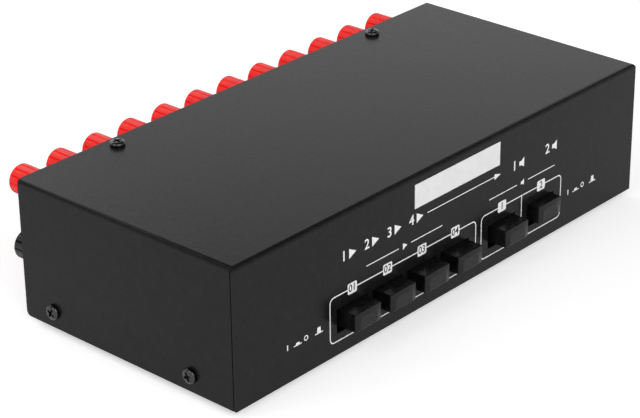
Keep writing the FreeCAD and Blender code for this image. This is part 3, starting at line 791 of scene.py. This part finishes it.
def makeStuds():
    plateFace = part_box("terminal_plate")[1].y
    firstLow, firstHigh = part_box("red_row_studs")
    length, tail = firstHigh.y - plateFace, plateFace - firstLow.y
    corners = stud["tailFlats"] / 2 / math.cos(math.pi / 6)
    hexagon = addRod("tail", corners, (0, -tail, 0), (0, 0, 0), 6)
    hexagon.data.transform(Matrix.Rotation(math.pi / 6, 4, "Y"))
    softenEdges(hexagon, stud["tailBevel"])
    first = join([makeStudCore(length), makeThread(length), hexagon], "stud")
    smooth(first, angle=35)
    for row in ("red", "black"):
        low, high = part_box(row + "_row_studs")
        copies = []
        for number in postNumbers:
            capLow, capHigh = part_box(f"{row}_post_cap_{number:02d}")
            seat = Vector(((capLow.x + capHigh.x) / 2, plateFace, (low.z + high.z) / 2))
            copies.append(copyPiece(first, "stud", shift(seat)))
        piece = join(copies, row + "Studs")
        dress(piece, finishes["stud_brass"], "case", "stud_brass", row + "_row_studs")
    bpy.data.objects.remove(first)
    print("studs made")


makeStuds()


# print on the front panel

ink = {
    "thickness": 0.03 * mm,
    "line": 0.46,  # the rest in mm on the panel, from its left end and lower edge
    "thinLine": 0.36,
    "frameLow": 5.5,
    "frameHigh": 24.3,
    "frameRound": 2.3,
    "inputFrame": (48.6, 132.3),
    "outputFrame": (135.25, 186.4),
    "divider": 160.6,
    "keyLevel": 24.15,
    "keySize": (5.0, 4.4),
    "keyRound": 0.7,
    "keyLift": 1.5,  # in thicknesses
    "cutLift": 9,
    "keyOverlap": 0.3,  # the frame line's reach under a key square
    "keyPlaces": [60.9, 80.4, 100.0, 119.6, 148.2, 173.0],
    "keyNumbers": ["01", "02", "03", "04", "1", "2"],
    "keyDigit": 2.9,
    "digitBold": 0.07,
    "digitShare": 0.7,  # a digit's height in the letter size
    "digitDepth": 1.0 * mm,
    "titleLevel": 38.3,
    "titleHeight": 4.0,
    "amplifiers": [56.5, 69.0, 81.5, 94.0],
    "speakers": [155.5, 176.5],
    "numberGap": 4.6,  # from a sign back to its number
    "arrow": (103.0, 143.0),
    "arrowHead": (3.8, 1.2),
    "subtitleLevel": 29.7,
    "subtitleHeight": 2.6,
    "subtitleGap": 3.5,
    "amplifierLine": (68.6, 111.8),
    "speakerLine": (140.1, 181.6),
    # signs as outlines, in half heights from the middle
    "amplifierSign": [(-0.9, -1), (1, 0), (-0.9, 1)],
    "speakerSign": [(-0.8, -0.45), (-0.2, -0.45), (0.7, -1), (0.7, 1), (-0.2, 0.45), (-0.8, 0.45)],
}


def inkFlat(left, right, low, high, lift=1.0):
    # a thin slab of ink that stands on the panel
    proud = Vector((0, ink["thickness"] * lift, 0))
    return addBox("ink", onFront(left, low) - proud, onFront(right, high))


def raiseInk(lift=1.0):
    # in edit mode: gives the flat ink its thickness
    bpy.ops.mesh.select_all(action="SELECT")
    bpy.ops.mesh.extrude_region_move(
        TRANSFORM_OT_translate={"value": (0, -ink["thickness"] * lift, 0)})
    faceOutwards()


def inkShape(corners):
    # a filled outline, drawn corner by corner and raised off the panel
    drawLine([onFront(*corner) for corner in corners])
    bpy.ops.mesh.edge_face_add()
    raiseInk()
    return settle("ink")


def roundedFlat(left, right, low, high, corner, hollow=None, lift=1.0):
    # a rounded rectangle; with a hollow, only its outline
    deselectAll()
    bpy.ops.mesh.primitive_plane_add(size=1, rotation=(math.pi / 2, 0, 0),
                                     location=onFront((left + right) / 2, (low + high) / 2))
    bpy.context.object.scale = ((right - left) * mm, (high - low) * mm, 1)
    edit(settle("ink"), "VERT")
    bpy.ops.mesh.select_all(action="SELECT")
    bpy.ops.mesh.bevel(offset=corner * mm, segments=6, affect="VERTICES")
    if hollow:
        bpy.ops.mesh.select_mode(type="FACE")
        bpy.ops.mesh.select_all(action="SELECT")
        bpy.ops.mesh.inset(thickness=hollow * mm)
        bpy.ops.mesh.delete(type="FACE")
    raiseInk(lift)
    return bpy.context.object


def addNumber(number, fromLeft, level, height, thickness):
    deselectAll()
    bpy.ops.object.text_add(location=onFront(fromLeft, level), rotation=(math.pi / 2, 0, 0))
    words = bpy.context.object
    words.data.body = number
    words.data.size = height * mm / ink["digitShare"]
    words.data.align_x = "CENTER"
    words.data.align_y = "CENTER"
    words.data.extrude = thickness
    words.data.offset = ink["digitBold"] * mm
    words.data.resolution_u = 3
    bpy.ops.object.convert(target="MESH")
    edit(settle("number"), "VERT")
    bpy.ops.mesh.select_all(action="SELECT")
    bpy.ops.mesh.remove_doubles(threshold=weld)
    faceOutwards()
    return bpy.context.object


def keySquares():
    # white squares with a number cut out of each
    width, height = (size / 2 for size in ink["keySize"])
    level = ink["keyLevel"]
    parts = []
    for number, place in zip(ink["keyNumbers"], ink["keyPlaces"]):
        square = roundedFlat(place - width, place + width, level - height, level + height,
                             ink["keyRound"], lift=ink["keyLift"])
        cut(square, [addNumber(number, place, level, ink["keyDigit"], ink["digitDepth"])])
        parts.append(square)
    return parts


def frameLines():
    low, high, line = ink["frameLow"], ink["frameHigh"], ink["line"]
    frames = join([roundedFlat(*ink[name], low, high, ink["frameRound"], hollow=line)
                   for name in ("inputFrame", "outputFrame")], "frames")
    half = ink["keySize"][0] / 2 - ink["keyOverlap"]
    cut(frames, [inkFlat(place - half, place + half, high - 2 * line, high + line, ink["cutLift"])
                 for place in ink["keyPlaces"]])
    divider = inkFlat(ink["divider"] - line / 2, ink["divider"] + line / 2, low + line, high - line)
    return [frames, divider]


def addSign(name, fromLeft, level, height):
    half = height / 2
    return inkShape([(fromLeft + half * across, level + half * up) for across, up in ink[name]])


def thinLine(left, right, level):
    half = ink["thinLine"] / 2
    return inkFlat(left, right, level - half, level + half)


def titleSigns():
    # numbered amplifiers, an arrow and numbered loudspeakers, where a maker prints a title
    level, height = ink["titleLevel"], ink["titleHeight"]
    parts = []
    for places, sign in ((ink["amplifiers"], "amplifierSign"), (ink["speakers"], "speakerSign")):
        for number, place in enumerate(places, start=1):
            parts.append(addSign(sign, place + ink["numberGap"], level, height))
            parts.append(addNumber(str(number), place, level, height, ink["thickness"]))
    start, end = ink["arrow"]
    long, half = ink["arrowHead"]
    parts.append(thinLine(start, end, level))
    parts.append(inkShape([(end, level - half), (end + long, level), (end, level + half)]))
    return parts


def subtitleSigns():
    # a small sign between two lines, over each group of buttons
    level, gap = ink["subtitleLevel"], ink["subtitleGap"]
    parts = []
    for name in ("amplifier", "speaker"):
        left, right = ink[name + "Line"]
        middle = (left + right) / 2
        parts.append(addSign(name + "Sign", middle, level, ink["subtitleHeight"]))
        parts.append(thinLine(left, middle - gap, level))
        parts.append(thinLine(middle + gap, right, level))
    return parts


switchMark = {
    "places": [24.4, 189.3],  # mm on the panel, and the rest from a mark's left end and foot
    "level": 13.1,
    "height": 2.2,
    "bar": (1.8, 2.3),
    "ring": (10.6, 12.8),
    "ringRound": 1.09,
    "ringLine": 0.42,
    "pressed": (5.2, 0.8),  # the place of a button's sign, and how far the button stands out
    "released": (16.4, 2.2),
    "plate": (4.2, 0.4),
    "buttonFoot": (1.1, 3.1),
    "buttonHead": (1.3, 2.9),
}


def switchSigns():
    # a bar and a pressed button, then a ring and a button that stands out
    low, high = switchMark["level"], switchMark["level"] + switchMark["height"]
    wide, thick = switchMark["plate"]
    footLeft, footRight = switchMark["buttonFoot"]
    headLeft, headRight = switchMark["buttonHead"]
    parts = []
    for left in switchMark["places"]:
        barLeft, barRight = (left + edge for edge in switchMark["bar"])
        ringLeft, ringRight = (left + edge for edge in switchMark["ring"])
        parts.append(inkFlat(barLeft, barRight, low, high))
        parts.append(roundedFlat(ringLeft, ringRight, low, high, switchMark["ringRound"],
                                 hollow=switchMark["ringLine"]))
        for sign in ("pressed", "released"):
            start, stroke = switchMark[sign]
            base, plate, top = left + start, low + thick, low + thick + stroke
            parts.append(inkShape([
                (base, low), (base + wide, low), (base + wide, plate), (base + footRight, plate),
                (base + headRight, top), (base + headLeft, top), (base + footLeft, plate),
                (base, plate)]))
    return parts


def makePrint():
    parts = keySquares() + frameLines() + titleSigns() + subtitleSigns() + switchSigns()
    dress(join(parts, "frontPrint"), inkWhite, "case", "case_paint")
    print("front print made")


makePrint()


# bare label

bareLabel = {
    "left": 95.6,  # mm on the panel
    "right": 146.0,
    "low": 42.4,
    "high": 52.1,
    "thickness": 0.12 * mm,
    "edgeRound": 0.03 * mm,
    "cuts": 24,
    "looseEnd": 3,  # mm of the right end that come off the panel
    "lift": 0.045 * mm,
}


def makeLabel():
    corner = onFront(bareLabel["left"], bareLabel["low"]) - Vector((0, bareLabel["thickness"], 0))
    piece = addBox("bareLabel", corner, onFront(bareLabel["right"], bareLabel["high"]))
    looseFrom = onFront(bareLabel["right"] - bareLabel["looseEnd"], 0).x
    edit(piece, "EDGE")
    pick(piece, "edges", lambda edge: abs(edge.verts[0].co.x - edge.verts[1].co.x) > near)
    bpy.ops.mesh.subdivide(number_cuts=bareLabel["cuts"])
    bpy.ops.mesh.select_mode(type="VERT")
    pick(piece, "verts", lambda vert: vert.co.x > looseFrom)
    bpy.ops.transform.translate(value=(0, -bareLabel["lift"], 0))
    bpy.ops.object.mode_set(mode="OBJECT")
    softenEdges(piece, bareLabel["edgeRound"])
    smooth(piece)
    dress(piece, labelPaper, "case", "case_paint")
    print("label made")


makeLabel()


# CAD nodes that keep their shape

keptNodes = {
    "tray_paint": ["base_tray"],
    "terminal_plastic": ["terminal_plate"],
    "link_metal": ["red_bus_links", "black_bus_links"],
    "board_laminate": ["main_board"],
    "support_nylon": ["board_supports"],
    "switch_plastic": ["switch_body_" + name for name in buttonNames],
    "plunger_plastic": ["plunger_" + name for name in buttonNames],
}
for slot, names in keptNodes.items():
    for name in names:
        for place in frame["nodes"][name].material_slots:
            place.material = finishes[slot]
print("CAD nodes dressed")


# floor, light and camera

studio = {
    "floorSize": 12.0,  # metres
    "floorDrop": 0.05 * mm,
    "floorColour": 0.8,
    "floorRough": 0.9,
    "floorGlow": 0.47,
    "skyHorizon": 1.0,  # the sky's strength as it is seen, low down and higher up
    "skyTop": 0.15,
    "skyChange": (0.3, 0.6),  # how far up it starts and stops to change
    "skyForLight": 0.7,  # the share of it that lights the object
    "aim": (0, 0, 0.03),
    "frontSize": (1.4, 1.0),
    "frontPlace": (-0.4, -1.15, 0.95),
    "frontPower": 13.0,
    "sideSize": (1.0, 0.9),
    "sidePlace": (-1.15, 0.1, 0.95),
    "sidePower": 7.0,
    "backSize": (0.9, 0.5),
    "backPlace": (1.0, 0.8, 0.45),
    "backPower": 0.8,
    "rearSize": (1.4, 0.6),
    "rearPlace": (0.1, 1.2, 1.0),
    "rearPower": 7.0,
}


def seenDirectly(nodes, links):
    # 1 for rays that the camera, a gloss or a clear piece sends out
    path = nodes.new("ShaderNodeLightPath")
    total = path.outputs["Is Camera Ray"]
    for name in ("Is Glossy Ray", "Is Transmission Ray"):
        either = nodes.new("ShaderNodeMath")
        either.operation = "MAXIMUM"
        links.new(total, either.inputs[0])
        links.new(path.outputs[name], either.inputs[1])
        total = either.outputs[0]
    return total


def makeFloor():
    deselectAll()
    bpy.ops.mesh.primitive_plane_add(size=studio["floorSize"], location=(0, 0, -studio["floorDrop"]))
    floor = settle("floor")
    material = bpy.data.materials.new("paleFloor")
    material.use_nodes = True
    nodes, links = material.node_tree.nodes, material.node_tree.links
    shader = nodes["Principled BSDF"]
    shader.inputs["Base Color"].default_value = (*grey(studio["floorColour"]), 1)
    shader.inputs["Roughness"].default_value = studio["floorRough"]
    shader.inputs["Specular IOR Level"].default_value = 0.0
    glow = nodes.new("ShaderNodeMath")
    glow.operation = "MULTIPLY"
    links.new(seenDirectly(nodes, links), glow.inputs[0])
    glow.inputs[1].default_value = studio["floorGlow"]
    shader.inputs["Emission Color"].default_value = (1, 1, 1, 1)
    links.new(glow.outputs[0], shader.inputs["Emission Strength"])
    floor.data.materials.append(material)


def makeSky():
    world = bpy.data.worlds.new("studio")
    bpy.context.scene.world = world
    world.use_nodes = True
    nodes, links = world.node_tree.nodes, world.node_tree.links
    background = nodes["Background"]
    direction = nodes.new("ShaderNodeTexCoord")
    split = nodes.new("ShaderNodeSeparateXYZ")
    links.new(direction.outputs["Generated"], split.inputs["Vector"])
    height = nodes.new("ShaderNodeMapRange")
    height.inputs["From Min"].default_value, height.inputs["From Max"].default_value = studio["skyChange"]
    height.inputs["To Min"].default_value = studio["skyHorizon"]
    height.inputs["To Max"].default_value = studio["skyTop"]
    links.new(split.outputs["Z"], height.inputs["Value"])
    amount = nodes.new("ShaderNodeMapRange")
    amount.inputs["To Min"].default_value = studio["skyForLight"]
    amount.inputs["To Max"].default_value = 1.0
    links.new(seenDirectly(nodes, links), amount.inputs["Value"])
    strength = nodes.new("ShaderNodeMath")
    strength.operation = "MULTIPLY"
    links.new(height.outputs["Result"], strength.inputs[0])
    links.new(amount.outputs["Result"], strength.inputs[1])
    links.new(strength.outputs[0], background.inputs["Strength"])
    background.inputs["Color"].default_value = (1, 1, 1, 1)


def makeLamp(name, place, size, power):
    deselectAll()
    bpy.ops.object.light_add(type="AREA", location=place)
    lamp = bpy.context.object
    lamp.name = name
    lamp.data.shape = "RECTANGLE"
    lamp.data.size, lamp.data.size_y = size
    lamp.data.energy = power
    towards = Vector(studio["aim"]) - Vector(place)
    lamp.rotation_euler = towards.to_track_quat("-Z", "Y").to_euler()


camera = {
    "place": (-0.591563, -0.527157, 0.407304),
    "turn": (63.8728, 0.6223, -48.1986),  # degrees
    "lens": 126.85,
    "sensor": 36,
    "nearest": 0.01,
    "farthest": 50,
}


def makeCamera():
    bpy.ops.object.camera_add(location=camera["place"],
                              rotation=[math.radians(angle) for angle in camera["turn"]])
    view = bpy.context.object
    view.data.lens = camera["lens"]
    view.data.sensor_width = camera["sensor"]
    view.data.clip_start = camera["nearest"]
    view.data.clip_end = camera["farthest"]
    bpy.context.scene.camera = view


makeFloor()
makeSky()
for side in ("front", "side", "back", "rear"):
    makeLamp(side + "Light", studio[side + "Place"], studio[side + "Size"], studio[side + "Power"])
makeCamera()
bpy.context.scene.view_settings.view_transform = "Standard"
print("studio made")
